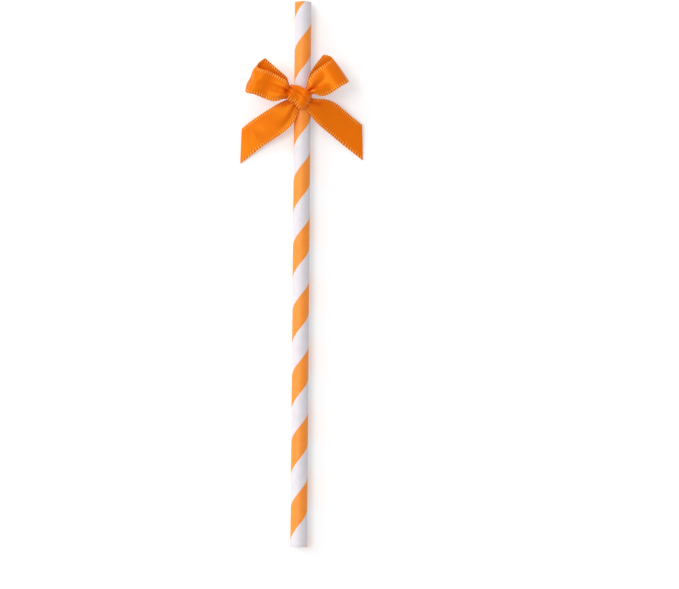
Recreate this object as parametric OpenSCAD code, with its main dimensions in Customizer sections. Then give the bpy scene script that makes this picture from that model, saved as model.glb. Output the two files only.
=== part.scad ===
// Striped paper drinking straw with a satin ribbon tied round it in a bow.
// It lies along Y with its mouth end at +Y, the bow on top and the floor at z = 0.
// All sizes are in millimetres.

/* [Tube] */
// Length of the paper tube
tube_length = 197; // [140:1:260]
// Outer diameter of the paper tube
tube_d = 6; // [5:0.5:12]
// Thickness of the wound paper wall
tube_wall = 0.4; // [0.3:0.05:0.8]

/* [Ribbon] */
// Width of the flat ribbon
ribbon_w = 10; // [8:0.5:14]
// Thickness of the ribbon
ribbon_t = 0.3; // [0.2:0.05:0.5]
// Gap between the paper and the ribbon wound round it
ribbon_fit = 0.05; // [0.03:0.01:0.2]
// Width of the band where it is drawn together round the tube
band_w = 7; // [5:0.5:9]
// Number of gathers across the ribbon where it wraps the knot
knot_gathers = 3; // [2:1:4]
// Number of gathers across each loop and tail where it enters the knot
neck_gathers = 2; // [1:1:3]

/* [Knot] */
// Distance from the mouth end to the middle of the knot
knot_from_mouth = 35.9; // [28:0.1:60]
// How far the knot sits to the right of the tube's middle line; on the left it is negative
knot_aside = -1.4; // [-2:0.1:2]
// Length of the knot across the tube
knot_l = 9.1; // [8:0.1:12]
// Width of the knot along the tube
knot_w = 8.4; // [7:0.1:11]
// Height of the knot above the band
knot_h = 3.6; // [3:0.2:5]

/* [Loops] */
// Reach of the left loop from the middle of the knot
left_loop_reach = 18.6; // [16:0.2:26]
// Reach of the right loop from the middle of the knot
right_loop_reach = 18.4; // [16:0.2:26]
// Height of the loops above the band
loop_lift = 6; // [4.5:0.5:9]
// Angle of the left loop above the level line
left_loop_angle = 21; // [14:1:36]
// Angle of the right loop above the level line
right_loop_angle = 33; // [18:1:40]

/* [Tails] */
// Reach of the left tail from the middle of the knot to the middle of its cut
left_tail_reach = 26.5; // [22:0.5:40]
// Reach of the right tail from the middle of the knot to the middle of its cut
right_tail_reach = 27.5; // [22:0.5:40]
// How far the lower corner of a cut end stands past its upper corner
tail_slant = 8; // [0:0.5:12]
// Angle of the left tail below the level line
left_tail_angle = 37; // [30:1:46]
// Angle of the right tail below the level line
right_tail_angle = 37; // [30:1:46]

/* [Hidden] */
$fn = 48;

tube_r = tube_d / 2;
bore_r = tube_r - tube_wall;
band_r = tube_r + ribbon_fit;
axis_z = band_r + ribbon_t;
band_top = axis_z + band_r + ribbon_t;
knot_y = tube_length / 2 - knot_from_mouth;
knot_bottom = band_top - ribbon_t / 2;
cut_past_end = 1;
segments_per_row = 2;
columns = 4 * max(knot_gathers, neck_gathers);
gather_slack = 0.6;
narrowest = ribbon_w / 10;
loop_crown = ribbon_w * 0.03;
tail_crown = ribbon_w * 0.02;

// Each loop row is the upper edge, then the lower edge: how far out as a share of the reach,
// how far across as a share of the ribbon's width, and how high as a share of the lift.
// The rows run out along the top layer, round the fold and back along the layer behind.
left_loop_rows = [
    [[0.12, 0.16, 0.20], [0.12, -0.08, 0.20]],
    [[0.20, 0.28, 0.30], [0.20, -0.18, 0.26]],
    [[0.27, 0.34, 0.46], [0.28, -0.28, 0.42]],
    [[0.34, 0.43, 0.70], [0.36, -0.40, 0.62]],
    [[0.45, 0.45, 0.84], [0.48, -0.47, 0.80]],
    [[0.60, 0.48, 0.88], [0.61, -0.48, 0.90]],
    [[0.74, 0.49, 0.84], [0.79, -0.48, 0.92]],
    [[0.86, 0.47, 0.76], [0.93, -0.52, 0.84]],
    [[0.94, 0.48, 0.68], [1.00, -0.49, 0.60]],
    [[0.97, 0.56, 0.61], [1.02, -0.40, 0.38]],
    [[0.95, 0.70, 0.56], [1.00, -0.27, 0.22]],
    [[0.90, 0.84, 0.52], [0.95, -0.14, 0.13]],
    [[0.87, 0.90, 0.49], [0.90, -0.10, 0.10]],
    [[0.80, 0.85, 0.45], [0.83, -0.14, 0.08]],
    [[0.66, 0.76, 0.39], [0.68, -0.20, 0.06]],
    [[0.50, 0.66, 0.33], [0.52, -0.22, 0.06]],
    [[0.37, 0.57, 0.28], [0.38, -0.20, 0.08]],
    [[0.31, 0.46, 0.24], [0.31, -0.16, 0.10]],
    [[0.22, 0.26, 0.18], [0.22, -0.10, 0.14]],
    [[0.12, 0.12, 0.18], [0.12, -0.06, 0.16]]
];
right_loop_rows = [
    [[0.12, 0.06, 0.20], [0.12, -0.10, 0.20]],
    [[0.21, 0.12, 0.36], [0.22, -0.12, 0.30]],
    [[0.29, 0.22, 0.56], [0.30, -0.20, 0.46]],
    [[0.37, 0.32, 0.72], [0.38, -0.34, 0.62]],
    [[0.48, 0.42, 0.84], [0.47, -0.46, 0.80]],
    [[0.62, 0.48, 0.88], [0.62, -0.51, 0.90]],
    [[0.80, 0.49, 0.82], [0.81, -0.51, 0.90]],
    [[0.92, 0.50, 0.72], [0.96, -0.51, 0.74]],
    [[0.97, 0.55, 0.64], [1.01, -0.46, 0.44]],
    [[0.96, 0.66, 0.57], [1.01, -0.34, 0.22]],
    [[0.90, 0.78, 0.52], [0.95, -0.22, 0.13]],
    [[0.86, 0.82, 0.48], [0.89, -0.18, 0.09]],
    [[0.78, 0.78, 0.43], [0.80, -0.20, 0.06]],
    [[0.62, 0.68, 0.36], [0.65, -0.23, 0.06]],
    [[0.46, 0.54, 0.30], [0.49, -0.23, 0.07]],
    [[0.34, 0.36, 0.24], [0.36, -0.18, 0.09]],
    [[0.24, 0.18, 0.18], [0.25, -0.12, 0.13]],
    [[0.12, 0.08, 0.16], [0.12, -0.07, 0.15]]
];

// Each tail row is the upper edge, then the lower edge: share of the reach, share of the
// ribbon's width, and share of the drop from the knot to the floor.
left_tail_rows = [
    [[0.02, 0.10, 0.00], [0.02, -0.20, 0.00]],
    [[0.08, 0.18, 0.00], [0.08, -0.32, 0.03]],
    [[0.15, 0.23, 0.02], [0.17, -0.48, 0.08]],
    [[0.22, 0.27, 0.06], [0.26, -0.59, 0.17]],
    [[0.32, 0.31, 0.15], [0.36, -0.63, 0.28]],
    [[0.43, 0.35, 0.27], [0.48, -0.63, 0.40]],
    [[0.56, 0.39, 0.43], [0.60, -0.60, 0.54]],
    [[0.70, 0.42, 0.61], [0.76, -0.56, 0.70]]
];
right_tail_rows = [
    [[0.04, 0.20, 0.00], [0.03, -0.04, 0.00]],
    [[0.10, 0.28, 0.00], [0.09, -0.10, 0.00]],
    [[0.17, 0.37, 0.02], [0.16, -0.15, 0.03]],
    [[0.28, 0.58, 0.08], [0.28, -0.21, 0.12]],
    [[0.40, 0.71, 0.20], [0.41, -0.27, 0.25]],
    [[0.56, 0.72, 0.40], [0.58, -0.28, 0.46]],
    [[0.70, 0.71, 0.60], [0.76, -0.29, 0.68]]
];

// Each knot row is the upper right edge, then the lower left edge of the ribbon that wraps the
// knot: shares of half the knot's length, half its width and its height. The rows cross it from
// upper left to lower right.
knot_rows = [
    [[-0.60, 1.18, 0.06], [-1.08, 0.50, 0.06]],
    [[-0.58, 1.20, 0.48], [-1.12, 0.42, 0.44]],
    [[-0.24, 1.12, 0.72], [-1.06, 0.20, 0.66]],
    [[0.20, 0.98, 0.80], [-0.80, -0.10, 0.72]],
    [[0.56, 0.78, 0.80], [-0.43, -0.44, 0.68]],
    [[0.86, 0.50, 0.70], [-0.03, -0.80, 0.56]],
    [[1.04, 0.14, 0.48], [0.36, -0.96, 0.38]],
    [[1.04, 0.06, 0.06], [0.44, -0.96, 0.06]]
];
knot_crown = 0.22;

// The gathered ribbon that fills the knot, as points along two rolls: shares as for the knot
loop_roll = [
    [-0.60, 0.30, 0.32], [-0.30, 0.20, 0.34], [0, 0.10, 0.34], [0.30, 0.10, 0.34], [0.60, 0.20, 0.32]
];
tail_roll = [
    [-0.30, -0.20, 0.30], [-0.10, -0.24, 0.32], [0.10, -0.26, 0.32], [0.30, -0.26, 0.32], [0.50, -0.20, 0.30]
];
roll_r = knot_h * 0.22;

function mix(a, b, k) = a + (b - a) * k;
function unit(v) = v / max(norm(v), 0.000001);

// A smooth curve through the points, at a place counted in points from the first
function bend(a, b, c, d, u) =
    0.5 * (2 * b + (c - a) * u + (2 * a - 5 * b + 4 * c - d) * u * u
        + (3 * b - a - 3 * c + d) * u * u * u);
function along(points, place) =
    let (last = len(points) - 1, i = min(floor(place), last - 1))
    bend(points[max(i - 1, 0)], points[i], points[i + 1], points[min(i + 2, last)], place - i);
function smooth(points) =
    [for (i = [0 : (len(points) - 1) * segments_per_row]) along(points, i / segments_per_row)];

// Depth of the gathers that take up the ribbon's spare width where its edges draw together
function gather_depth(width, gathers) =
    gather_slack * 2 * width / (PI * gathers) * sqrt(max(ribbon_w / max(width, narrowest) - 1, 0));

// Height of the sheet above the line between its edges, a share t of the way across
function sheet_rise(t, width, crown, gathers) =
    crown * 4 * t * (1 - t) - gather_depth(width, gathers) * cos(360 * gathers * t) / 2;

// Points of a sheet between two smooth edges, offset towards the side that it faces
function sheet(ups, downs, crown, gathers, side, offset) =
    [for (i = [0 : len(ups) - 1])
        let (last = len(ups) - 1, before = max(i - 1, 0), after = min(i + 1, last))
        let (way = ups[after] + downs[after] - ups[before] - downs[before])
        let (across = downs[i] - ups[i], face = side * unit(cross(way, across)))
        [for (j = [0 : columns])
            mix(ups[i], downs[i], j / columns)
            + face * (sheet_rise(j / columns, norm(across), crown, gathers) + offset)]];

// A closed solid between two grids of points, the first below the second
module between(below, above) {
    rows = len(below) - 1;
    function at(i, j, layer) = (layer * (rows + 1) + i) * (columns + 1) + j;
    function wall(a, b, c, d) = [[a, c, b], [a, d, c]];
    points = [for (grid = [below, above]) for (row = grid) for (p = row) p];
    bottom = [for (i = [0 : rows - 1]) for (j = [0 : columns - 1])
        for (f = wall(at(i, j, 0), at(i, j + 1, 0), at(i + 1, j + 1, 0), at(i + 1, j, 0))) f];
    top = [for (i = [0 : rows - 1]) for (j = [0 : columns - 1])
        for (f = wall(at(i, j, 1), at(i + 1, j, 1), at(i + 1, j + 1, 1), at(i, j + 1, 1))) f];
    sides = [for (i = [0 : rows - 1]) for (f = concat(
        wall(at(i, 0, 0), at(i + 1, 0, 0), at(i + 1, 0, 1), at(i, 0, 1)),
        wall(at(i + 1, columns, 0), at(i, columns, 0), at(i, columns, 1), at(i + 1, columns, 1)))) f];
    ends = [for (j = [0 : columns - 1]) for (f = concat(
        wall(at(0, j + 1, 0), at(0, j, 0), at(0, j, 1), at(0, j + 1, 1)),
        wall(at(rows, j, 0), at(rows, j + 1, 0), at(rows, j + 1, 1), at(rows, j, 1)))) f];
    polyhedron(points, concat(bottom, top, sides, ends));
}

// One stretch of ribbon between an upper and a lower edge, facing up where side is 1
module stretch(upper, lower, crown, side) {
    ups = smooth(upper);
    downs = smooth(lower);
    half = ribbon_t / 2;
    skins = [for (offset = [-half, half]) sheet(ups, downs, crown, neck_gathers, side, offset)];
    if (side > 0) between(skins[0], skins[1]);
    else between(skins[1], skins[0]);
}

// A loop or tail row's point, turned out along its own line; hand is -1 on the left
function turned(out, across, z, angle, hand) =
    [hand * (out * cos(angle) - across * sin(angle)), out * sin(angle) + across * cos(angle), z];

module loop(rows, reach, angle, hand) {
    function spot(p) = turned(p[0] * reach, p[1] * ribbon_w, band_top + p[2] * loop_lift, angle, hand);
    stretch([for (r = rows) spot(r[0])], [for (r = rows) spot(r[1])], loop_crown, -hand);
}

module tail(rows, reach, angle, hand) {
    last = rows[len(rows) - 1];
    cut = [reach - tail_slant / 2, reach + tail_slant / 2];
    neck_z = band_top + knot_h * 0.25;
    function height(drop) = max(mix(neck_z, ribbon_t / 2, drop), ribbon_t / 2);
    function spot(p) = turned(p[0] * reach, p[1] * ribbon_w, height(p[2]), -angle, hand);
    function edge(side) = concat(
        [for (r = rows) spot(r[side])],
        [for (k = [0.5, 1]) turned(mix(last[side][0] * reach, cut[side], k),
            last[side][1] * ribbon_w, height(mix(last[side][2], [0.84, 1][side], k)), -angle, hand)]);
    stretch(edge(0), edge(1), tail_crown, -hand);
}

function knot_spot(p) = [p[0] * knot_l / 2, p[1] * knot_w / 2, band_top + p[2] * knot_h];

// Gathered ribbon running through the knot
module roll(points) {
    for (i = [0 : len(points) - 2]) {
        hull() {
            translate(knot_spot(points[i])) sphere(roll_r, $fn = 16);
            translate(knot_spot(points[i + 1])) sphere(roll_r, $fn = 16);
        }
    }
}

// The knot is filled down to the band, and the ribbon that wraps it is its upper skin
module knot() {
    upper = smooth([for (r = knot_rows) knot_spot(r[0])]);
    lower = smooth([for (r = knot_rows) knot_spot(r[1])]);
    wrap = sheet(lower, upper, knot_crown * knot_h, knot_gathers, 1, ribbon_t / 2);
    between([for (row = wrap) [for (p = row) [p[0], p[1], knot_bottom]]], wrap);
    roll(loop_roll);
    roll(tail_roll);
}

// The ribbon where it passes round the tube
module band() {
    translate([0, 0, axis_z]) rotate([90, 0, 0]) difference() {
        cylinder(h = band_w, r = band_r + ribbon_t, center = true);
        cylinder(h = band_w + 2 * cut_past_end, r = band_r, center = true);
    }
}

module paper_tube() {
    color("white") translate([0, 0, axis_z]) rotate([90, 0, 0]) difference() {
        cylinder(h = tube_length, r = tube_r, center = true);
        cylinder(h = tube_length + 2 * cut_past_end, r = bore_r, center = true);
    }
}

module ribbon_bow() {
    color("darkorange") translate([0, knot_y, 0]) {
        band();
        translate([knot_aside, 0, 0]) {
            knot();
            loop(left_loop_rows, left_loop_reach, left_loop_angle, -1);
            loop(right_loop_rows, right_loop_reach, right_loop_angle, 1);
            tail(left_tail_rows, left_tail_reach, left_tail_angle, -1);
            tail(right_tail_rows, right_tail_reach, right_tail_angle, 1);
        }
    }
}

paper_tube();
ribbon_bow();
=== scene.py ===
from math import ceil, cos, pi, radians, sin

import bpy
import numpy as np
from mathutils import Matrix, Vector


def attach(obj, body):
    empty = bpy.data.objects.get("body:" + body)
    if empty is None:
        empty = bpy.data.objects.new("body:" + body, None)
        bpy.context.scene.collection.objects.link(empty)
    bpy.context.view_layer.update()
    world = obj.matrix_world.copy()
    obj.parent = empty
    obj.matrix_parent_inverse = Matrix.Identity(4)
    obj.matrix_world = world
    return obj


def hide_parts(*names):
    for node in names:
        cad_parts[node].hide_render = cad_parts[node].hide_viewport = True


# The straw lies along Y with its mouth end at +Y and the bow on top.
# Shapes are worked out in millimetres and turned to metres when a mesh is made.
mm = 0.001

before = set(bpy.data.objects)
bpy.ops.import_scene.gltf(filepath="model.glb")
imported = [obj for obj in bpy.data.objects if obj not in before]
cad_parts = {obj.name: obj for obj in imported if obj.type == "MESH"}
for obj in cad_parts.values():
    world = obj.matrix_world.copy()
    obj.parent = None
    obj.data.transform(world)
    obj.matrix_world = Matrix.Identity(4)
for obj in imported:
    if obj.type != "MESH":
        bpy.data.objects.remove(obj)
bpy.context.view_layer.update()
print("frame loaded")


# An sRGB hex value as linear red, green, blue and alpha
def linearColour(hexCode):
    channels = [int(hexCode[i:i + 2], 16) / 255 for i in (1, 3, 5)]
    return [c / 12.92 if c <= 0.04045 else ((c + 0.055) / 1.055) ** 2.4 for c in channels] + [1.0]


def addNode(tree, kind, inputs=None, **settings):
    node = tree.nodes.new(kind)
    for name, value in settings.items():
        setattr(node, name, value)
    for name, value in (inputs or {}).items():
        if isinstance(value, bpy.types.NodeSocket):
            tree.links.new(value, node.inputs[name])
        else:
            node.inputs[name].default_value = value
    return node


def newMaterial(name):
    material = bpy.data.materials.new(name)
    material.use_nodes = True
    material.node_tree.nodes.clear()
    return material


def quadMesh(name, points, quads, uvMaps, slots=None):
    mesh = bpy.data.meshes.new(name)
    mesh.from_pydata((np.asarray(points) * mm).tolist(), [], np.asarray(quads).tolist())
    for mapName, corners in uvMaps.items():
        mesh.uv_layers.new(name=mapName).data.foreach_set("uv", np.asarray(corners, float).ravel())
    if slots is not None:
        mesh.polygons.foreach_set("material_index", slots)
    mesh.update()
    mesh.shade_smooth()
    mesh.set_sharp_from_angle(angle=radians(50))    # only cut edges stay sharp
    piece = bpy.data.objects.new(name, mesh)
    bpy.context.scene.collection.objects.link(piece)
    return piece


# Negative where the faces look inwards
def signedVolume(points, quads):
    a, b, c, d = (points[quads[:, k]] for k in range(4))
    return (np.einsum("ij,ij->i", a, np.cross(b, c)) + np.einsum("ij,ij->i", a, np.cross(c, d))).sum() / 6


# The paper tube: three plies wound in a spiral, the outer one printed with a stripe along it
tubeSpec = {
    "length": 197.0,
    "radius": 3.0,
    "wall": 0.4,
    "plies": 3,
    "axisHeight": 3.35,    # the ribbon's band under the tube lifts it off the floor
    "lead": 23.54,         # one turn of a stripe, measured along the tube
    "firstWhite": 0.95,    # where the tube's top line turns white, from the mouth end
    "whiteShare": 0.498,   # how much of a turn is white
    "inkFeather": 0.005,   # how far the ink's edge feathers, as a share of a turn: some 0.1 mm
    "cutRound": 0.04,      # how far the cut ends' corners are rounded
    "seamDepth": 0.04,
    "seamEdges": (0.0035, 0.008),   # where the outer ply rises beside its seam, as shares of a turn
    "plyGroove": (0.02, 0.06),      # half the width and the depth of the line between two cut plies
    "white": ("#E7E2E7", "#E1DBE1"),    # each colour and its mottle
    "orange": ("#FF982B", "#FC9025"),
    "core": ("#E9E4DE", "#DCD5CE"),
    # paper fibres are some 0.03 mm thick; drawn at 0.25 to 0.3 mm so that they show
    "fibresPerMm": 4.0,
    "coreFibresPerMm": 3.5,
    "cloudsPerMm": 0.4,
    "ringStep": 0.75,      # between the mesh's rings, and how many columns go round
    "columns": 72,
}

# Where the tube's sides lie on the bake map: the left edge and the width of the outside and of
# the bore, then the left edge of each cut end, whose rings are all equally wide.
tubeMap = {"outside": (0.01, 0.6), "bore": (0.63, 0.3), "lowerCut": 0.945, "mouthCut": 0.97,
           "ringWidth": 0.0016, "margin": 0.01}


def paperMaterial():
    # Spiral-wound uncoated paper printed with a flat ink: matt, faintly mottled by its fibres,
    # and the ink a little smoother than the bare paper.
    material = newMaterial("spiralWoundPrintedPaper")
    tree = material.node_tree
    place = addNode(tree, "ShaderNodeTexCoord")
    winding = addNode(tree, "ShaderNodeUVMap", uv_map="winding")
    turns = addNode(tree, "ShaderNodeSeparateXYZ", {0: winding.outputs[0]})
    fibre = addNode(tree, "ShaderNodeTexNoise", {"Vector": place.outputs["Object"],
                    "Scale": tubeSpec["fibresPerMm"] / mm, "Detail": 4})
    cloud = addNode(tree, "ShaderNodeTexNoise", {"Vector": place.outputs["Object"],
                    "Scale": tubeSpec["cloudsPerMm"] / mm, "Detail": 2})
    mottle = addNode(tree, "ShaderNodeMapRange", {"Value": cloud.outputs[0], "From Min": 0.3,
                     "From Max": 0.7})
    # white up to its share of the turn, then ink, with the fibres pulling the line about
    feather, inkStart = tubeSpec["inkFeather"], tubeSpec["whiteShare"]
    edge = addNode(tree, "ShaderNodeMath", {0: fibre.outputs[0], 1: feather, 2: turns.outputs[0]},
                   operation="MULTIPLY_ADD")
    inked = addNode(tree, "ShaderNodeMapRange", {"Value": edge.outputs[0], "From Min": inkStart,
                    "From Max": inkStart + feather}, interpolation_type="SMOOTHSTEP")
    white, whiteMottle = (linearColour(code) for code in tubeSpec["white"])
    orange, orangeMottle = (linearColour(code) for code in tubeSpec["orange"])
    paper = addNode(tree, "ShaderNodeMix", {0: mottle.outputs[0], 6: white, 7: whiteMottle}, data_type="RGBA")
    ink = addNode(tree, "ShaderNodeMix", {0: mottle.outputs[0], 6: orange, 7: orangeMottle}, data_type="RGBA")
    colour = addNode(tree, "ShaderNodeMix", {0: inked.outputs[0], 6: paper.outputs[2], 7: ink.outputs[2]},
                     data_type="RGBA")
    rough = addNode(tree, "ShaderNodeMapRange", {"Value": inked.outputs[0], "To Min": 0.62, "To Max": 0.5})
    relief = addNode(tree, "ShaderNodeBump", {"Strength": 0.15, "Distance": 0.02 * mm,
                     "Height": fibre.outputs[0]})
    shader = addNode(tree, "ShaderNodeBsdfPrincipled", {"Base Color": colour.outputs[2],
                     "Roughness": rough.outputs[0], "IOR": 1.5, "Normal": relief.outputs[0]})
    addNode(tree, "ShaderNodeOutputMaterial", {"Surface": shader.outputs[0]})
    return material


def coreMaterial():
    # Bare paper of the inner plies: a shade creamier than the outer one, rough where it is cut.
    material = newMaterial("barePaperPly")
    tree = material.node_tree
    place = addNode(tree, "ShaderNodeTexCoord")
    fibre = addNode(tree, "ShaderNodeTexNoise", {"Vector": place.outputs["Object"],
                    "Scale": tubeSpec["coreFibresPerMm"] / mm, "Detail": 4})
    core, coreMottle = (linearColour(code) for code in tubeSpec["core"])
    colour = addNode(tree, "ShaderNodeMix", {0: fibre.outputs[0], 6: core, 7: coreMottle}, data_type="RGBA")
    relief = addNode(tree, "ShaderNodeBump", {"Strength": 0.3, "Distance": 0.03 * mm,
                     "Height": fibre.outputs[0]})
    shader = addNode(tree, "ShaderNodeBsdfPrincipled", {"Base Color": colour.outputs[2], "Roughness": 0.75,
                     "IOR": 1.5, "Normal": relief.outputs[0]})
    addNode(tree, "ShaderNodeOutputMaterial", {"Surface": shader.outputs[0]})
    return material


# The wall's section as radius and distance from the mouth end: along the outside, across the lower
# cut end, back along the bore and across the mouth's cut end.
def tubeProfile(outer, inner, length, runs):
    ply = (outer - inner) / tubeSpec["plies"]
    halfGroove, grooveDepth = tubeSpec["plyGroove"]
    rounding = tubeSpec["cutRound"]
    cut = [(outer - rounding / 2, rounding / 4), (outer - rounding * 1.25, 0)]
    for k in range(1, tubeSpec["plies"]):
        groove = outer - k * ply
        cut += [(groove + halfGroove, 0), (groove, grooveDepth), (groove - halfGroove, 0)]
    cut += [(inner + rounding * 0.75, 0), (inner, rounding)]
    profile = [(outer, s) for s in runs] + [(r, length - s) for r, s in cut]
    profile += [(inner, s) for s in runs[::-1][1:-1]] + [(r, s) for r, s in cut[::-1]]
    return np.array(profile), len(cut)


def woundTube():
    spec = tubeSpec
    outer, inner, length = spec["radius"], spec["radius"] - spec["wall"], spec["length"]
    # columns follow the winding, with two close ones on each side of the outer ply's seam
    near, far = spec["seamEdges"]
    evenTurns = np.arange(1, spec["columns"]) / spec["columns"]
    turns = np.concatenate([[0, near, far], evenTurns, [1 - far, 1 - near]])
    count = len(turns)
    runs = np.linspace(spec["cutRound"], length - spec["cutRound"], int(length / spec["ringStep"]))
    profile, cutRings = tubeProfile(outer, inner, length, runs)
    rows = len(profile)
    points = np.zeros((rows, count, 3))
    for i, (r, s) in enumerate(profile):
        angle = 2 * pi * (turns + (spec["firstWhite"] - s) / spec["lead"])
        dip = np.where((turns < near / 2) & (r == outer), spec["seamDepth"], 0)
        points[i] = np.stack([(r - dip) * np.sin(angle), np.full(count, length / 2 - s),
                              spec["axisHeight"] + (r - dip) * np.cos(angle)], axis=1)
    quads, winding, spread, slots = [], [], [], []
    turnEnds = np.append(turns, 1.0)
    for i in range(rows):
        nextRow = (i + 1) % rows
        (r0, s0), (r1, s1) = profile[i], profile[nextRow]
        outside = i < len(runs) - 1
        bore = r0 == r1 == inner and abs(s0 - s1) > spec["ringStep"] / 2
        for j in range(count):
            k = (j + 1) % count
            quads.append((i * count + j, nextRow * count + j, nextRow * count + k, i * count + k))
            u0, u1 = turnEnds[j], turnEnds[j + 1]
            winding.append(((u0, s0), (u0, s1), (u1, s1), (u1, s0)))
            slots.append(0 if outside else 1)
            if outside or bore:
                left, wide = tubeMap["outside" if outside else "bore"]
                a, b = left + wide * u0, left + wide * u1
                c, d = (tubeMap["margin"] + (1 - 2 * tubeMap["margin"]) * s / length for s in (s0, s1))
                spread.append(((a, c), (a, d), (b, d), (b, c)))
            else:
                start = tubeMap["lowerCut" if s0 > length / 2 else "mouthCut"]
                c = start + tubeMap["ringWidth"] * ((i - len(runs)) % cutRings)
                d = c + tubeMap["ringWidth"]
                spread.append(((c, u0), (d, u0), (d, u1), (c, u1)))
    points, quads = points.reshape(-1, 3), np.array(quads)
    if signedVolume(points, quads) < 0:
        quads = quads[:, ::-1]
        winding, spread = np.array(winding)[:, ::-1], np.array(spread)[:, ::-1]
    tube = quadMesh("woundTube", points, quads, {"winding": winding, "OFBake": spread}, slots)
    tube.data.materials.append(paperMaterial())
    tube.data.materials.append(coreMaterial())
    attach(tube, "root")
    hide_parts("paper_tube")
    return tube


tube = woundTube()
print("tube wound:", len(tube.data.polygons), "faces")

# The ribbon: one length of double-faced satin tied round the tube in a bow
ribbonSpec = {
    "width": 10.0,
    "thickness": 0.22,
    "selvedgeThickness": 0.3,
    "picotPitch": 0.85,        # the weft's turns along the woven edge
    "picotReach": 0.06,        # how far each turn stands out
    "selvedgeWidth": 1.2,
    "selvedgeFade": (0.65, 0.15),    # where the woven edge starts and stops fading into the satin
    "beadFromEdge": 0.45,      # the thick cord in the woven edge, and its half width
    "beadWidth": 0.4,
    "edgeShare": 0.6,          # how thick the very edge is, as a share of the cloth beside it
    "bandWidth": 7.0,
    "gatherSlack": 0.8,        # how much of the cloth that is drawn together stands up in gathers
    "knotFromMouth": 35.9,
    "knotAside": -1.4,         # the knot sits a little to the left of the tube's middle
    "knot": (9.1, 8.4, 4.1),   # across the tube, along it and up
    "neckHeight": 0.25,        # where the tails leave the knot, as a share of its height
    "wrapShown": 0.8,          # how much of the ribbon's width shows in the wrap over the knot
    "loopLift": 6.0,
    "leftLoop": (18.6, 21),    # reach and angle
    "rightLoop": (18.4, 33),
    "leftTail": (26.5, -37),
    "rightTail": (27.5, -37),
    "tailSlant": 8.0,
    "tailClearance": 0.12,     # between a tail's end and the floor
    "cutDrop": 0.84,           # how far the cut's upper corner drops, as a share of the way to the floor
    "rowStep": 0.16,           # between the mesh's rows
    "satin": ("#F06B02", "#E96301"),    # the face and its streaks
    # painted shade: the woven edge is drawn a darker orange than the face, for the shade between the weft's
    # turns
    "edge": "#E05000",
    # painted highlight: the weft's turns along the woven edge are drawn a lighter orange, where each catches
    # the light
    "glintingPicot": "#FFA544",
    "glow": "#FFD640",
    "sheen": "#FFA84A",
    # floats lie 0.05 mm apart; drawn 0.15 mm apart and 3 mm long so that they show
    "floatsPerMm": (0.35, 6.5),
    "raggedPerMm": 1.6,
    "raggedReach": 0.9,        # how far the weft's turns reach in unevenly
    "picotDrift": 2.6,         # how far they drift along the edge, in radians of their pitch
}
axisHeight = tubeSpec["axisHeight"]
bandTop = 2 * axisHeight
knotX = ribbonSpec["knotAside"]
knotY = tubeSpec["length"] / 2 - ribbonSpec["knotFromMouth"]

# Each stretch of ribbon: how far its middle stands out in mm, the side that faces up, how its
# folds are shifted, how many gathers it has and how deep they are, its slow wave (height and
# length in mm) and its creases. A crease is a valley that fades along its length: its start and
# its end (mm along, share across), its depth and its half width.
folds = {
    "leftTail": {"crown": 0.2, "side": 1, "phase": 0.0, "gathers": 1, "depthShare": 0.6,
                 "creases": [((2.5, 0.66), (14.0, 0.88), 1.25, 0.13)]},
    "leftLoop": {"crown": 0.3, "side": 1, "phase": 1.3, "gathers": 2, "depthShare": 0.9,
                 "creases": [((2.5, 0.37), (11.0, 0.40), 1.4, 0.07)]},
    "wrap": {"crown": 0.902, "side": 1, "phase": 0.6, "gathers": 3, "depthShare": 0.5, "rumple": (0.25, 5.0),
             "creases": [((3.5, 0.3), (11.0, 0.42), 0.25, 0.07), ((6.0, 0.75), (12.0, 0.62), 0.3, 0.06)]},
    "rightLoop": {"crown": 0.3, "side": -1, "phase": 2.4, "gathers": 2, "depthShare": 0.9,
                  "creases": [((2.0, 0.52), (12.0, 0.44), 0.6, 0.10)]},
    "rightTail": {"crown": 0.2, "side": -1, "phase": 4.0, "gathers": 1, "depthShare": 0.6,
                  "creases": [((2.5, 0.30), (15.0, 0.36), 0.8, 0.13)]},
    "band": {"crown": 0.0, "side": 1, "phase": 5.1, "gathers": 1, "depthShare": 0.0, "rumple": (0.03, 6.0)},
}

# What makes no two gathers alike: how far their ridges wander across the ribbon, how round they
# are, how much their height varies, how that runs across (in turns) and along (in mm), and how
# far the slow wave slants.
gathering = {"wander": 0.02, "roundness": 0.6, "variation": 0.35, "turnsAcross": 1.3, "lengthAlong": 4.0,
             "waveSlant": 2.2}

# The body of the knot: how many of the wrap's rows are tucked in at each end, how much narrower
# its top and its base are, how far its top lies under the wrap, and the cloth that shows on it.
knotBody = {"tucked": 13, "top": (0.92, 0.9), "base": (0.86, 0.74), "under": 0.3, "cloth": (0.3, 0.7)}

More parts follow.
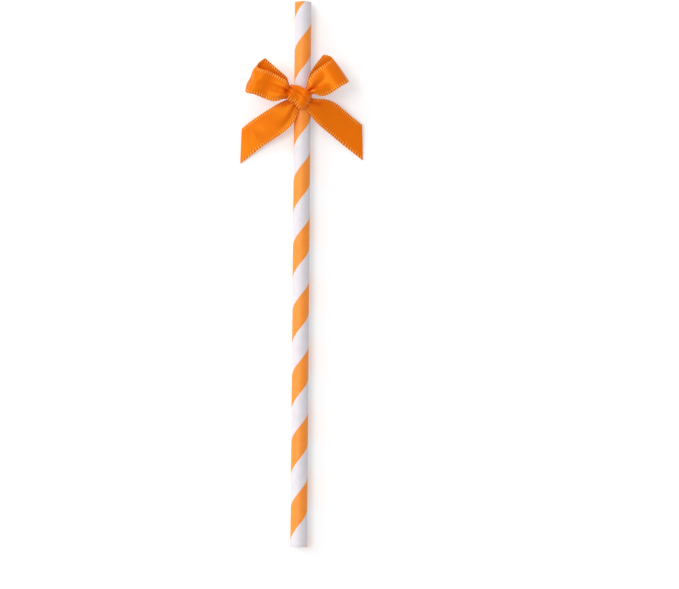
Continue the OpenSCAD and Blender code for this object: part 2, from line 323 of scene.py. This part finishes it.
# Each row is the ribbon's upper edge, then its lower edge: how far out as a share of the reach,
# how far across as a share of the width, and how high as a share of the loops' lift.
leftLoopRows = [
    [[0.12, 0.16, 0.28], [0.12, -0.08, 0.28]],
    [[0.20, 0.28, 0.40], [0.20, -0.18, 0.36]],
    [[0.25, 0.33, 0.68], [0.26, -0.26, 0.62]],
    [[0.30, 0.38, 0.86], [0.32, -0.36, 0.82]],
    [[0.42, 0.44, 0.80], [0.44, -0.47, 0.82]],
    [[0.60, 0.48, 0.75], [0.61, -0.48, 0.76]],
    [[0.74, 0.49, 0.80], [0.79, -0.48, 0.86]],
    [[0.86, 0.47, 0.76], [0.93, -0.52, 0.84]],
    [[0.94, 0.48, 0.68], [1.00, -0.49, 0.60]],
    [[0.97, 0.56, 0.64], [1.02, -0.40, 0.38]],
    [[0.95, 0.70, 0.63], [1.00, -0.27, 0.22]],
    [[0.90, 0.84, 0.62], [0.95, -0.14, 0.13]],
    [[0.87, 0.90, 0.60], [0.90, -0.10, 0.10]],
    [[0.80, 0.85, 0.57], [0.83, -0.14, 0.08]],
    [[0.66, 0.76, 0.51], [0.68, -0.20, 0.06]],
    [[0.50, 0.66, 0.43], [0.52, -0.22, 0.06]],
    [[0.37, 0.57, 0.34], [0.38, -0.20, 0.08]],
    [[0.31, 0.46, 0.24], [0.31, -0.16, 0.10]],
    [[0.22, 0.26, 0.18], [0.22, -0.10, 0.14]],
    [[0.12, 0.12, 0.18], [0.12, -0.06, 0.16]],
]
rightLoopRows = [
    [[0.12, 0.06, 0.28], [0.12, -0.10, 0.28]],
    [[0.21, 0.12, 0.40], [0.22, -0.12, 0.36]],
    [[0.27, 0.21, 0.66], [0.28, -0.19, 0.58]],
    [[0.33, 0.30, 0.84], [0.34, -0.32, 0.80]],
    [[0.46, 0.42, 0.80], [0.45, -0.46, 0.80]],
    [[0.62, 0.48, 0.79], [0.62, -0.51, 0.79]],
    [[0.80, 0.49, 0.82], [0.81, -0.51, 0.90]],
    [[0.92, 0.50, 0.72], [0.96, -0.51, 0.74]],
    [[0.97, 0.55, 0.64], [1.01, -0.46, 0.44]],
    [[0.96, 0.66, 0.62], [1.01, -0.34, 0.22]],
    [[0.90, 0.78, 0.61], [0.95, -0.22, 0.13]],
    [[0.86, 0.82, 0.58], [0.89, -0.18, 0.09]],
    [[0.78, 0.78, 0.54], [0.80, -0.20, 0.06]],
    [[0.62, 0.68, 0.46], [0.65, -0.23, 0.06]],
    [[0.46, 0.54, 0.36], [0.49, -0.23, 0.07]],
    [[0.34, 0.36, 0.24], [0.36, -0.18, 0.09]],
    [[0.24, 0.18, 0.18], [0.25, -0.12, 0.13]],
    [[0.12, 0.08, 0.16], [0.12, -0.07, 0.15]],
]

# Tail rows are the same, with the drop from the knot to the floor in place of the lift.
leftTailRows = [
    [[0.02, 0.10, 0.00], [0.02, -0.20, 0.00]],
    [[0.08, 0.18, 0.00], [0.08, -0.32, 0.02]],
    [[0.15, 0.23, 0.00], [0.17, -0.48, 0.05]],
    [[0.22, 0.27, 0.01], [0.26, -0.59, 0.12]],
    [[0.32, 0.31, 0.07], [0.36, -0.63, 0.24]],
    [[0.43, 0.35, 0.20], [0.48, -0.63, 0.38]],
    [[0.56, 0.39, 0.39], [0.60, -0.60, 0.54]],
    [[0.70, 0.42, 0.60], [0.76, -0.56, 0.71]],
]
rightTailRows = [
    [[0.04, 0.20, 0.00], [0.03, -0.04, 0.00]],
    [[0.10, 0.28, 0.01], [0.09, -0.10, 0.02]],
    [[0.17, 0.37, 0.06], [0.16, -0.15, 0.08]],
    [[0.28, 0.58, 0.17], [0.28, -0.21, 0.21]],
    [[0.40, 0.71, 0.32], [0.41, -0.27, 0.36]],
    [[0.56, 0.72, 0.50], [0.58, -0.28, 0.56]],
    [[0.70, 0.71, 0.66], [0.76, -0.29, 0.74]],
]

# The wrap over the knot: its lower left edge, then its upper right edge, from upper left to
# lower right, as shares of half the knot's length, half its width and its height.
wrapRows = [
    [[-0.84, 0.36, 0.02], [-0.42, 0.88, 0.02]],
    [[-1.14, 0.40, 0.42], [-0.60, 1.20, 0.46]],
    [[-1.04, 0.16, 0.64], [-0.26, 1.12, 0.72]],
    [[-0.80, -0.14, 0.66], [0.06, 1.02, 0.86]],
    [[-0.58, -0.36, 0.60], [0.32, 0.90, 0.92]],
    [[-0.36, -0.34, 0.68], [0.50, 0.78, 0.90]],
    [[-0.22, -0.58, 0.58], [0.68, 0.66, 0.90]],
    [[0.02, -0.86, 0.50], [0.88, 0.44, 0.80]],
    [[0.36, -0.96, 0.36], [1.04, 0.14, 0.54]],
    [[0.36, -0.82, 0.02], [0.90, 0.04, 0.02]],
]


# A place out from the knot and across the ribbon, turned up or down; hand is -1 on the left
def turned(out, across, height, angle, hand):
    a = radians(angle)
    return (knotX + hand * (out * cos(a) - across * sin(a)), knotY + out * sin(a) + across * cos(a), height)


def loopEdges(rows, size, hand):
    reach, angle = size
    width, lift = ribbonSpec["width"], ribbonSpec["loopLift"]
    return [[turned(out * reach, across * width, bandTop + up * lift, angle, hand) for out, across, up in row]
            for row in rows]


def tailEdges(rows, size, hand):
    reach, angle = size
    width, slant = ribbonSpec["width"], ribbonSpec["tailSlant"]
    lowest = ribbonSpec["selvedgeThickness"] / 2 + ribbonSpec["tailClearance"]
    neck = bandTop + ribbonSpec["knot"][2] * ribbonSpec["neckHeight"]
    # two more rows lead to the slanting cut, whose lower corner lies on the floor
    places = [[(out * reach, across, drop) for out, across, drop in row] for row in rows]
    ends = [(reach - slant / 2, ribbonSpec["cutDrop"]), (reach + slant / 2, 1)]
    last = places[-1]
    for share in (0.5, 1):
        places.append([(out + (cut - out) * share, across, drop + (endDrop - drop) * share)
                       for (out, across, drop), (cut, endDrop) in zip(last, ends)])
    return [[turned(out, across * width, max(neck + (lowest - neck) * drop, lowest), angle, hand)
             for out, across, drop in row] for row in places]


def wrapEdges():
    length, width, height = ribbonSpec["knot"]
    return [[(knotX + aside * length / 2, knotY + forward * width / 2, bandTop + up * height)
             for aside, forward, up in row] for row in wrapRows]


def bandEdges():
    radius = axisHeight - ribbonSpec["selvedgeThickness"] / 2
    half = ribbonSpec["bandWidth"] / 2
    step = 12    # degrees, once round from one side of the knot to the other
    angles = [radians(a) for a in range(step, 361 - step, step)]
    return [[(-radius * sin(a), knotY + side * half, axisHeight + radius * cos(a)) for side in (1, -1)]
            for a in angles]


# A smooth curve through the rows (Catmull-Rom), then rows at even steps along it
def smoothRows(rows, step):
    rows = np.array(rows, float)
    last = len(rows) - 1
    fine, finePoints = [], 24
    for i in range(last):
        a, b, c, d = (rows[min(max(k, 0), last)] for k in (i - 1, i, i + 1, i + 2))
        for u in np.linspace(0, 1, finePoints, endpoint=False):
            fine.append(0.5 * (2 * b + (c - a) * u + (2 * a - 5 * b + 4 * c - d) * u * u
                               + (3 * b - a - 3 * c + d) * u ** 3))
    fine = np.array(fine + [rows[-1]])
    steps = np.linalg.norm(np.diff(fine.mean(axis=1), axis=0), axis=1)
    place = np.concatenate([[0], np.cumsum(steps)])
    even = np.linspace(0, place[-1], int(ceil(place[-1] / step)) + 1)
    edges = [[np.interp(even, place, fine[:, e, axis]) for axis in range(3)] for e in (0, 1)]
    return np.array(edges).transpose(2, 0, 1), even


def unit(vectors):
    return vectors / np.maximum(np.linalg.norm(vectors, axis=-1, keepdims=True), 1e-9)


# Columns across the ribbon, closer together in the woven edges
acrossShares = np.array([0, 0.015, 0.035, 0.06, 0.09, 0.12])
acrossShares = np.concatenate([acrossShares, np.linspace(0.155, 0.845, 21), 1 - acrossShares[::-1]])


# Middle surface of a stretch of ribbon, gathered where its edges draw together
def clothSheet(rows, crown, side, phase, gathers, depthShare, rumple=(0.1, 17.0), creases=()):
    edges, along = smoothRows(rows, ribbonSpec["rowStep"])
    upper, lower = edges[:, 0], edges[:, 1]
    across = lower - upper
    width = np.linalg.norm(across, axis=1)
    face = side * unit(np.cross(np.gradient(upper + lower, axis=0), across))
    t, placeAlong = acrossShares, along[:, None]
    spare = np.sqrt(np.maximum(ribbonSpec["width"] / np.maximum(width, 1) - 1, 0))
    depth = depthShare * ribbonSpec["gatherSlack"] * 2 * width / (pi * gathers) * spare
    # round ridges with sharper valleys between them
    how = gathering
    bent = t + how["wander"] * np.sin(2 * pi * t + phase) * np.sin(pi * t)
    roundPart, sharpPart = 0.5 - 0.5 * np.cos(2 * pi * gathers * bent), np.abs(np.sin(pi * gathers * bent))
    ridges = how["roundness"] * roundPart + (1 - how["roundness"]) * sharpPart - 0.5
    variation = np.sin(2 * pi * t * how["turnsAcross"] + phase + placeAlong / how["lengthAlong"])
    rise = crown * 4 * t * (1 - t) + depth[:, None] * ridges * (1 + how["variation"] * variation)
    wave, waveLength = rumple
    slowWave = np.sin(2 * pi * placeAlong / waveLength + how["waveSlant"] * t + phase)
    rise = rise + wave * slowWave * np.sin(pi * t) ** 0.5
    for (start, startShare), (end, endShare), deep, wide in creases:
        gone = np.clip((along - start) / (end - start), 0, 1)[:, None]
        valley = startShare + (endShare - startShare) * gone
        rise = rise - deep * (1 - gone) ** 2 * (1 + 2 * gone) * np.exp(-((t - valley) / wide) ** 2)
    # the firm woven edges keep their width where the cloth between them is gathered
    woven, mostKept = ribbonSpec["selvedgeWidth"] / ribbonSpec["width"], 0.3
    kept = np.minimum(ribbonSpec["selvedgeWidth"] / np.maximum(width, 1), mostKept)[:, None]
    shares = kept + (t - woven) * (1 - 2 * kept) / (1 - 2 * woven)
    shares = np.where(t < woven, t / woven * kept, shares)
    shares = np.where(t > 1 - woven, 1 - (1 - t) / woven * kept, shares)
    points = upper[:, None] + across[:, None] * shares[:, :, None] + face[:, None] * rise[:, :, None]
    return points, along


# A closed strip with thicker woven edges, as a grid of rows round its section
def stretch(points, along):
    spec = ribbonSpec
    normal = unit(np.cross(np.gradient(points, axis=0), np.gradient(points, axis=1)))
    fromEdge = np.minimum(acrossShares, 1 - acrossShares) * spec["width"]
    bead = np.exp(-((fromEdge - spec["beadFromEdge"]) / spec["beadWidth"]) ** 2)
    turns = 0.5 + 0.5 * np.cos(2 * pi * along / spec["picotPitch"])
    spare = (spec["selvedgeThickness"] - spec["thickness"]) / 2
    half = spec["thickness"] / 2 + spare * bead[None, :] * (0.5 + 0.5 * turns[:, None])
    for column, nextColumn in ((0, 1), (-1, -2)):
        outward = unit(points[:, column] - points[:, nextColumn])
        points[:, column] += outward * spec["picotReach"] * turns[:, None]
        half[:, column] *= spec["edgeShare"]
    above = points + normal * half[:, :, None]
    below = points - normal * half[:, :, None]
    return np.concatenate([above, below[:, ::-1]], axis=1)


# Where the stretches lie on the bake map: in bands, one above the other, with a "gap" at both
# sides of each. A stretch's rows start at "first" and take up at most "rows" of the map's width.
# Its upper side takes the first "side" of its band's height and its lower side as much from
# "lower" on. One cut end is a strip at "start" and the other lies "end" past the last row.
ribbonMap = {"gap": 0.004, "first": 0.02, "rows": 0.95, "side": 0.47, "lower": 0.5, "start": 0.008,
             "end": 0.006, "capWidth": 0.004}


# One stretch's faces, with their cloth coordinates (mm along and across) and their places on the
# bake map: a grid of rows round its section, then the two cut ends.
def stretchFaces(grid, along, clothAcross, clothStart, places, mapped):
    columns = len(acrossShares)
    rows, ring = len(grid), 2 * columns
    faces, cloth, spread = [], [], []
    for i in range(rows - 1):
        a, b = clothStart + along[i], clothStart + along[i + 1]
        c, d = places[i], places[i + 1]
        for k in range(ring):
            n = (k + 1) % ring
            faces.append((i * ring + k, i * ring + n, (i + 1) * ring + n, (i + 1) * ring + k))
            near, far = clothAcross[k], clothAcross[n]
            cloth.append(((a, near), (a, far), (b, far), (b, near)))
            spread.append(((c, mapped[k]), (c, mapped[k + 1]), (d, mapped[k + 1]), (d, mapped[k])))
    for i, c, flip in ((0, ribbonMap["start"], False), (rows - 1, places[-1] + ribbonMap["end"], True)):
        a, d = clothStart + along[i], c + ribbonMap["capWidth"]
        deep = a + np.linalg.norm(grid[i, :columns] - grid[i, ::-1][:columns], axis=1)
        for k in range(columns - 1):
            n = k + 1
            corners = [k, ring - 1 - k, ring - 1 - n, n]
            patch = [(c, mapped[k]), (d, mapped[k]), (d, mapped[n]), (c, mapped[n])]
            near, far = clothAcross[k], clothAcross[n]
            coords = [(a, near), (deep[k], near), (deep[n], far), (a, far)]
            order = [3, 2, 1, 0] if flip else [0, 1, 2, 3]
            faces.append(tuple(i * ring + corners[turn] for turn in order))
            cloth.append(tuple(coords[turn] for turn in order))
            spread.append(tuple(patch[turn] for turn in order))
    return np.array(faces), np.array(cloth), np.array(spread)


# Joins the stretches into one piece: each is a ring grid, its places along the ribbon and its
# columns' shares across it.
def ribbonMesh(stretches):
    points, quads, cloth, spread = [], [], [], []
    start, clothStart = 0, 0.0
    upperSide = ribbonMap["side"] * acrossShares
    unrolled = np.concatenate([upperSide, ribbonMap["lower"] + upperSide, [1.0]])
    longest = max(along[-1] for grid, along, shares in stretches)
    for number, (grid, along, shares) in enumerate(stretches):
        clothAcross = np.concatenate([shares, shares[::-1]]) * ribbonSpec["width"]
        bandLow = number / len(stretches) + ribbonMap["gap"]
        bandHigh = (number + 1) / len(stretches) - ribbonMap["gap"]
        mapped = bandLow + (bandHigh - bandLow) * unrolled
        places = ribbonMap["first"] + ribbonMap["rows"] * along / longest
        parts = stretchFaces(grid, along, clothAcross, clothStart, places, mapped)
        flat = grid.reshape(-1, 3)
        if signedVolume(flat, parts[0]) < 0:
            parts = [part[:, ::-1] for part in parts]
        points.append(flat)
        quads.append(parts[0] + start)
        cloth.append(parts[1])
        spread.append(parts[2])
        start += len(flat)
        clothStart += along[-1]
    return quadMesh("satinRibbonBow", np.concatenate(points), np.concatenate(quads),
                    {"cloth": np.concatenate(cloth), "OFBake": np.concatenate(spread)}), clothStart


def satinMaterial():
    # Double-faced polyester satin, woven with long floats: smooth and soft to the eye, with a broad
    # glow that runs across the ribbon, and a firm woven edge where the weft turns back. The turns
    # are drawn a lighter orange as a painted highlight, and the woven edge between them a darker
    # orange as painted shade.
    spec = ribbonSpec
    material = newMaterial("wovenPolyesterSatin")
    tree = material.node_tree
    cloth = addNode(tree, "ShaderNodeUVMap", uv_map="cloth")
    parts = addNode(tree, "ShaderNodeSeparateXYZ", {0: cloth.outputs[0]})
    along, across = parts.outputs[0], parts.outputs[1]
    halfWidth = spec["width"] / 2
    middle = addNode(tree, "ShaderNodeMath", {0: across, 1: halfWidth}, operation="SUBTRACT")
    fromMiddle = addNode(tree, "ShaderNodeMath", {0: middle.outputs[0]}, operation="ABSOLUTE")
    fromEdge = addNode(tree, "ShaderNodeMath", {0: halfWidth, 1: fromMiddle.outputs[0]}, operation="SUBTRACT")
    # the weft's turns reach in unevenly
    uneven = addNode(tree, "ShaderNodeTexNoise", {"Vector": cloth.outputs[0], "Scale": spec["raggedPerMm"],
                     "Detail": 1})
    ragged = addNode(tree, "ShaderNodeMath", {0: uneven.outputs[0], 1: spec["raggedReach"],
                     2: fromEdge.outputs[0]}, operation="MULTIPLY_ADD")
    fadeStart, fadeEnd = (spec["selvedgeWidth"] + fade for fade in spec["selvedgeFade"])
    selvedge = addNode(tree, "ShaderNodeMapRange", {"Value": ragged.outputs[0], "From Min": fadeStart,
                       "From Max": fadeEnd}, interpolation_type="SMOOTHSTEP")
    wave = addNode(tree, "ShaderNodeMath", {0: along, 1: 2 * pi / spec["picotPitch"]}, operation="MULTIPLY")
    # no two turns are pulled alike, so they drift along the edge by some 0.1 mm
    drifted = addNode(tree, "ShaderNodeMath", {0: uneven.outputs[0], 1: spec["picotDrift"],
                      2: wave.outputs[0]}, operation="MULTIPLY_ADD")
    crest = addNode(tree, "ShaderNodeMath", {0: drifted.outputs[0]}, operation="COSINE")
    glintingPicot = addNode(tree, "ShaderNodeMapRange", {"Value": crest.outputs[0], "From Min": -0.3,
                    "From Max": 0.6}, interpolation_type="SMOOTHSTEP")
    # where the turns catch the light: this mask paints their highlight and also raises them in the bump
    lit = addNode(tree, "ShaderNodeMath", {0: selvedge.outputs[0], 1: glintingPicot.outputs[0]}, operation="MULTIPLY")
    lengthwise, crosswise = spec["floatsPerMm"]
    lengths = addNode(tree, "ShaderNodeMath", {0: along, 1: lengthwise}, operation="MULTIPLY")
    widths = addNode(tree, "ShaderNodeMath", {0: across, 1: crosswise}, operation="MULTIPLY")
    drawn = addNode(tree, "ShaderNodeCombineXYZ", {0: lengths.outputs[0], 1: widths.outputs[0]})
    floats = addNode(tree, "ShaderNodeTexNoise", {"Vector": drawn.outputs[0], "Scale": 1, "Detail": 2})
    streak = addNode(tree, "ShaderNodeMapRange", {"Value": floats.outputs[0], "From Min": 0.3,
                     "From Max": 0.7})
    satin, satinStreak = (linearColour(code) for code in spec["satin"])
    face = addNode(tree, "ShaderNodeMix", {0: streak.outputs[0], 6: satin, 7: satinStreak}, data_type="RGBA")
    # the woven edge mixed in a darker orange: painted shade between the weft's turns
    faceWithShadedEdge = addNode(tree, "ShaderNodeMix", {0: selvedge.outputs[0], 6: face.outputs[2],
                   7: linearColour(spec["edge"])}, data_type="RGBA")
    # the turns painted a lighter orange: a painted highlight on each turn
    colour = addNode(tree, "ShaderNodeMix", {0: lit.outputs[0], 6: faceWithShadedEdge.outputs[2],
                     7: linearColour(spec["glintingPicot"])}, data_type="RGBA")
    height = addNode(tree, "ShaderNodeMath", {0: streak.outputs[0], 1: 0.25, 2: lit.outputs[0]},
                     operation="MULTIPLY_ADD")
    relief = addNode(tree, "ShaderNodeBump", {"Strength": 0.4, "Distance": 0.05 * mm,
                     "Height": height.outputs[0]})
    rough = addNode(tree, "ShaderNodeMapRange", {"Value": selvedge.outputs[0], "To Min": 0.4, "To Max": 0.55})
    # the glow is stretched along the floats, so it shows where the ribbon tilts along its length
    grain = addNode(tree, "ShaderNodeTangent", direction_type="UV_MAP", uv_map="cloth")
    shader = addNode(tree, "ShaderNodeBsdfPrincipled", {
        "Base Color": colour.outputs[2], "Roughness": rough.outputs[0], "IOR": 1.58,
        "Specular IOR Level": 0.9, "Specular Tint": linearColour(spec["glow"]),
        "Anisotropic": 0.9, "Anisotropic Rotation": 0.25,
        "Sheen Weight": 0.15, "Sheen Roughness": 0.5, "Sheen Tint": linearColour(spec["sheen"]),
        "Normal": relief.outputs[0], "Tangent": grain.outputs[0]})
    addNode(tree, "ShaderNodeOutputMaterial", {"Surface": shader.outputs[0]})
    return material


# The crossed layers under the wrap, as one closed fold that narrows down to the band
def knotFill(wrap, along):
    tucked = knotBody["tucked"]
    points, along = wrap[tucked:-tucked], along[tucked:-tucked]
    middle = points.reshape(-1, 3).mean(axis=0)
    top = middle + (points - middle) * [*knotBody["top"], 1] - [0, 0, knotBody["under"]]
    base = middle + (points - middle) * [*knotBody["base"], 1]
    base[:, :, 2] = bandTop - ribbonSpec["thickness"] / 2
    low, high = knotBody["cloth"]
    return np.concatenate([top, base[:, ::-1]], axis=1), along - along[0], low + (high - low) * acrossShares


def tiedBow():
    spec = ribbonSpec
    edges = {
        "leftTail": tailEdges(leftTailRows, spec["leftTail"], -1),
        "leftLoop": loopEdges(leftLoopRows, spec["leftLoop"], -1),
        "wrap": wrapEdges(),
        "rightLoop": loopEdges(rightLoopRows, spec["rightLoop"], 1),
        "rightTail": tailEdges(rightTailRows, spec["rightTail"], 1),
        "band": bandEdges(),
    }
    sheets = {name: clothSheet(rows, **folds[name]) for name, rows in edges.items()}
    fill = knotFill(*sheets["wrap"])
    # the wrap's upper edge is tucked under, so its woven edge is out of sight
    stretches = [(stretch(points, along), along, (spec["wrapShown"] if name == "wrap" else 1) * acrossShares)
                 for name, (points, along) in sheets.items()]
    bow, length = ribbonMesh(stretches + [fill])
    bow.data.materials.append(satinMaterial())
    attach(bow, "root")
    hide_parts("ribbon_bow")
    return bow, length


bow, ribbonLength = tiedBow()
print("bow tied:", len(bow.data.polygons), "faces,", round(ribbonLength, 1), "mm of ribbon")

# The floor is white: part of it comes from its colour, the rest only what the camera sees, so
# that the straw's soft shadow stays on it.
stageSpec = {
    "floor": "#E8E8E8",
    "reach": 3.0,     # half the floor's side, in metres
    "lift": 0.3,      # how much the camera sees on top of the floor's own colour
    "sky": 0.58,      # the sky's light; what is seen of it is pure white
    # each lamp's strength, how wide it spreads in degrees and where it shines from
    "lamps": {"sideLamp": (1.25, 40, (-0.75, 0.5, 0.28)), "upperLamp": (0.98, 30, (-0.42, 0.05, 0.89))},
}


# 1 for rays that the camera or a gloss sends out, and 0 for the light that falls on things
def seenRays(tree):
    rays = addNode(tree, "ShaderNodeLightPath")
    straight = addNode(tree, "ShaderNodeMath", {0: rays.outputs["Is Camera Ray"],
                       1: rays.outputs["Is Glossy Ray"]}, operation="ADD")
    return addNode(tree, "ShaderNodeMath", {0: straight.outputs[0], 1: rays.outputs["Is Transmission Ray"]},
                   operation="ADD", use_clamp=True).outputs[0]


def whiteFloor():
    mesh = bpy.data.meshes.new("floor")
    far = stageSpec["reach"]
    mesh.from_pydata([(-far, -far, 0), (far, -far, 0), (far, far, 0), (-far, far, 0)], [], [(0, 1, 2, 3)])
    floor = bpy.data.objects.new("floor", mesh)
    bpy.context.scene.collection.objects.link(floor)
    material = newMaterial("mattWhitePaperFloor")
    tree = material.node_tree
    power = addNode(tree, "ShaderNodeMath", {0: seenRays(tree), 1: stageSpec["lift"]}, operation="MULTIPLY")
    glow = addNode(tree, "ShaderNodeEmission", {"Color": (1, 1, 1, 1), "Strength": power.outputs[0]})
    matt = addNode(tree, "ShaderNodeBsdfDiffuse", {"Color": linearColour(stageSpec["floor"])})
    both = addNode(tree, "ShaderNodeAddShader", {0: matt.outputs[0], 1: glow.outputs[0]})
    addNode(tree, "ShaderNodeOutputMaterial", {"Surface": both.outputs[0]})
    mesh.materials.append(material)


def studioLight():
    world = bpy.data.worlds.new("studio")
    bpy.context.scene.world = world
    world.use_nodes = True
    tree = world.node_tree
    tree.nodes.clear()
    strength = addNode(tree, "ShaderNodeMapRange", {"Value": seenRays(tree), "To Min": stageSpec["sky"],
                       "To Max": 1.0})
    sky = addNode(tree, "ShaderNodeBackground", {"Color": (1, 1, 1, 1), "Strength": strength.outputs[0]})
    addNode(tree, "ShaderNodeOutputWorld", {"Surface": sky.outputs[0]})
    for name, (power, spread, source) in stageSpec["lamps"].items():
        lamp = bpy.data.lights.new(name, "SUN")
        lamp.energy, lamp.angle = power, radians(spread)
        holder = bpy.data.objects.new(name, lamp)
        holder.rotation_euler = Vector(source).to_track_quat("Z", "Y").to_euler()
        bpy.context.scene.collection.objects.link(holder)


# The camera looks down on the straw from nearly straight above, a little from the lower end:
# metres, degrees and the lens in millimetres.
cameraSpec = {"distance": 1.0, "tilt": 4.4, "lean": 0.41, "lens": 147.24, "aim": (0.01395, -0.00784, 0.004)}


def lookDown():
    camera = bpy.data.cameras.new("camera")
    camera.lens = cameraSpec["lens"]
    camera.clip_start, camera.clip_end = 0.05, 20
    holder = bpy.data.objects.new("camera", camera)
    bpy.context.scene.collection.objects.link(holder)
    tilt, lean = radians(cameraSpec["tilt"]), radians(cameraSpec["lean"])
    back = Vector((0, -sin(tilt), cos(tilt)))
    up = Vector((0, cos(tilt), sin(tilt)))
    right = up.cross(back)
    up, right = up * cos(lean) - right * sin(lean), right * cos(lean) + up * sin(lean)
    turn = Matrix((right, up, back)).transposed().to_4x4()
    stand = Vector(cameraSpec["aim"]) + back * cameraSpec["distance"]
    holder.matrix_world = Matrix.Translation(stand) @ turn
    bpy.context.scene.camera = holder


whiteFloor()
studioLight()
lookDown()
bpy.context.scene.view_settings.view_transform = "Standard"
print("floor, light and camera set")
